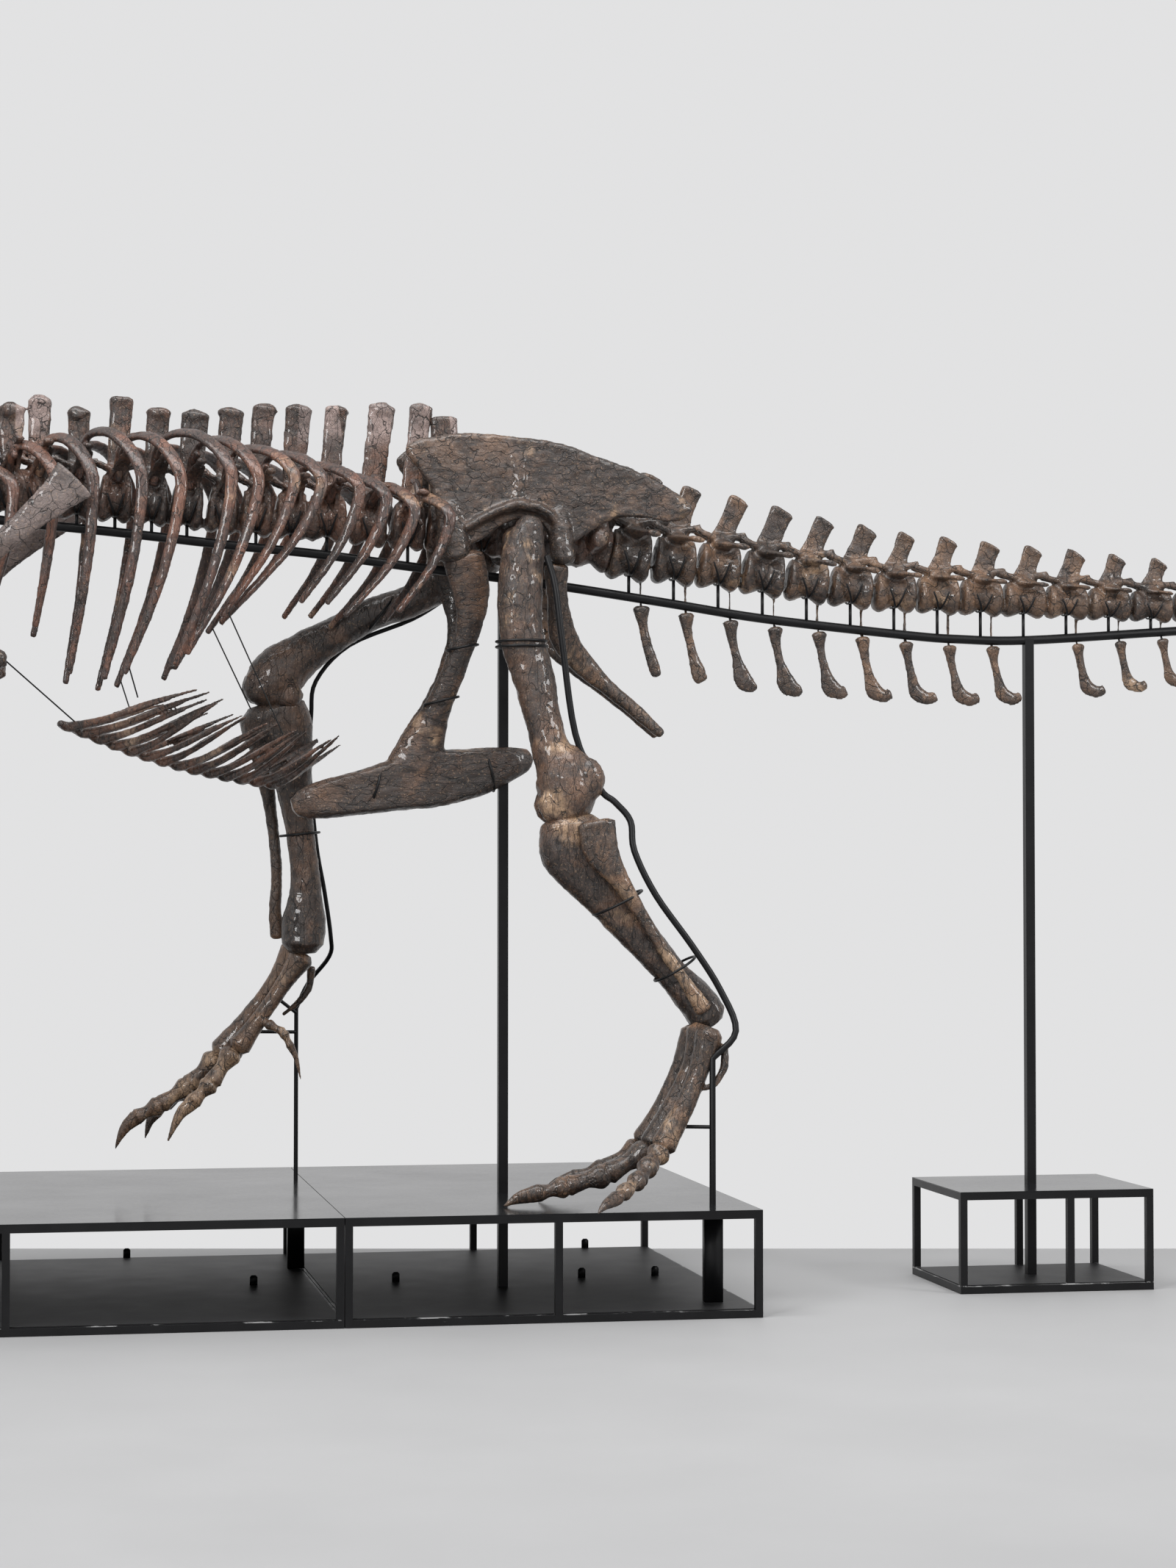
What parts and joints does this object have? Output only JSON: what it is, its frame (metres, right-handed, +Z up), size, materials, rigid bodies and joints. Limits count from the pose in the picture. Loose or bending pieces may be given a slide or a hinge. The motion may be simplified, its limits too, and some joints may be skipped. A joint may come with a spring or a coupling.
{
  "type": "mounted tyrannosaurus skeleton",
  "caption": "Life-size fossil skeleton of a large two-legged carnivorous dinosaur walking, held by a steel rail, posts and leg rods on low table frames with plates.",
  "frame": {"origin": "foot of the hip post, on the floor", "axes": "+Z up, the head points along -X and the tail along +X, the animal's left side faces -Y"},
  "size_m": [10.8468, 2.4561, 4.045],
  "materials": {
    "bone_dark": "dark brown fossil bone, cracked, half glossy with old lacquer",
    "bone_red": "reddish brown fossil bone with paler orange patches, half glossy",
    "steel_black": "black satin paint",
    "plate_grey": "glossy dark grey paint",
    "wire": "thin bright wire"
  },
  "bodies": {
    "root": {"stand_rail_trunk": "steel_black", "stand_rail_tail": "steel_black", "stand_rail_tail_end": "steel_black", "stand_post_hip": "steel_black", "stand_post_tail": "steel_black", "stand_post_front": "steel_black", "stand_leg_rod_left": "steel_black", "stand_leg_rod_right": "steel_black", "stand_belly_wire_1": "wire", "stand_belly_wire_2": "wire", "stand_belly_wire_3": "wire", "stand_belly_wire_4": "wire", "stand_arm_wire": "wire", "stand_frame_front": "steel_black", "stand_frame_rear": "steel_black", "stand_frame_tail": "steel_black", "stand_plate_front": "plate_grey", "stand_plate_rear": "plate_grey", "stand_plate_tail": "plate_grey", "stand_sheet_front": "plate_grey", "stand_sheet_rear": "plate_grey", "stand_sheet_tail": "plate_grey", "femur_left": "bone_dark", "femur_right": "bone_dark", "tibia_left": "bone_dark", "tibia_right": "bone_dark", "fibula_left": "bone_dark", "fibula_right": "bone_dark", "metatarsus_left": "bone_dark", "metatarsus_right": "bone_dark", "toes_left": "bone_dark", "toes_right": "bone_dark", "hallux_left": "bone_dark", "hallux_right": "bone_dark", "sacrum": "bone_dark", "ilium_left": "bone_dark", "ilium_right": "bone_dark", "pubis": "bone_dark", "ischium": "bone_dark", "scapula_left": "bone_dark", "scapula_right": "bone_dark", "trunk_left": "bone_red", "trunk_right": "bone_red", "upper_arm_left": "bone_dark", "upper_arm_right": "bone_dark", "forearm_left": "bone_dark", "forearm_right": "bone_dark", "gastralia": "bone_red", "tail_base": "bone_dark", "tail_middle": "bone_dark", "tail_end": "bone_dark", "neck": "bone_dark", "skull": "bone_dark", "mandible": "bone_dark"}
  },
  "joints": []
}
